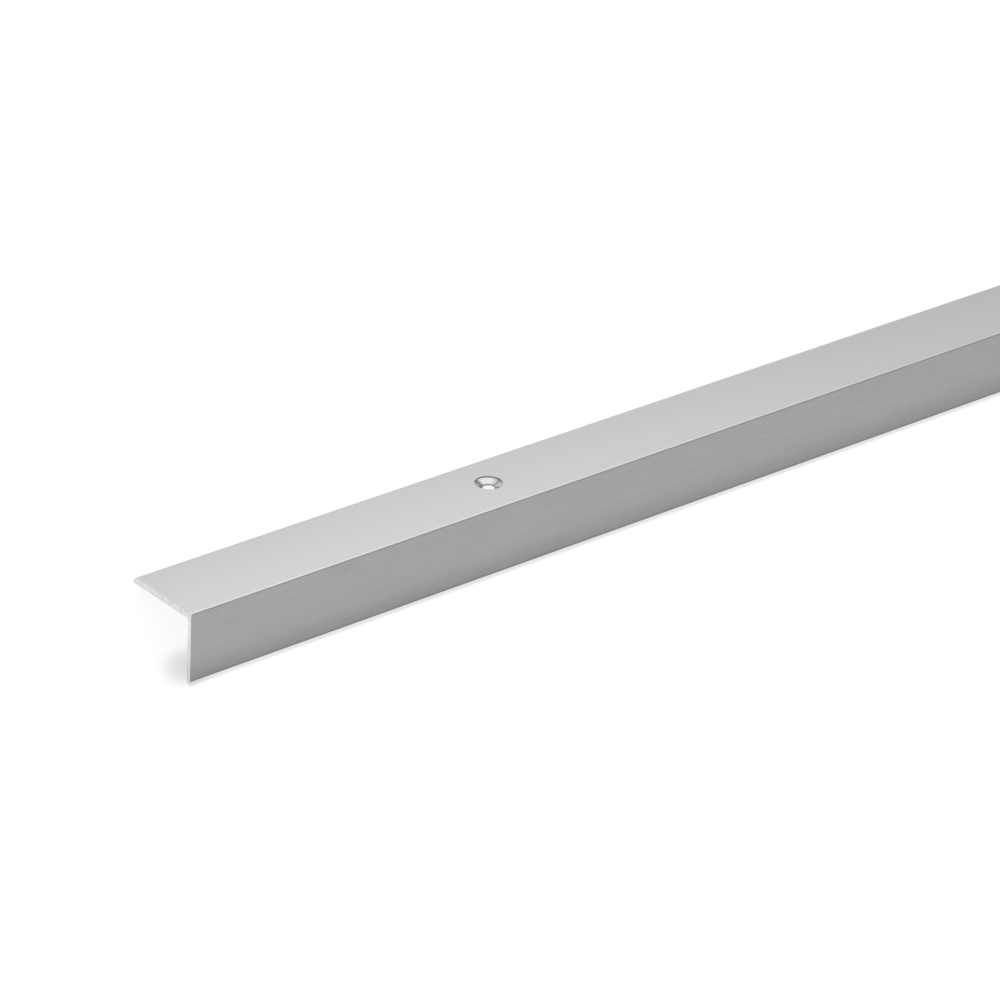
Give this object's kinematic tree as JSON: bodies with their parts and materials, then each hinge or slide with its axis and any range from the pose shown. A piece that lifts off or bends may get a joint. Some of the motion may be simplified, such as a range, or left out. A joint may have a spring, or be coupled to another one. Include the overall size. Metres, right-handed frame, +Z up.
{
  "type": "stainless steel edge trim",
  "caption": "Unequal steel angle trim that caps the edge of a step or floor, with a rounded rear edge and countersunk screw holes along its flange.",
  "frame": {"origin": "on the floor, under the middle of the trim's bounding box", "axes": "+X along the trim, away from its near end; +Y towards the rear of the flange; +Z up. The trim leans by 37.8 degrees about X from its fitted position, as it lies unheld on a floor: turning it by +37.8 degrees about +X brings the flange level, with the leg hanging down"},
  "size_m": [1, 0.0314, 0.0165],
  "materials": {
    "brushed_steel": "stainless steel, finely brushed along its length on the outer faces, plain mill finish inside, bright saw-cut ends and turned countersinks"
  },
  "bodies": {
    "root": {"edge_trim": "brushed_steel"}
  },
  "joints": []
}
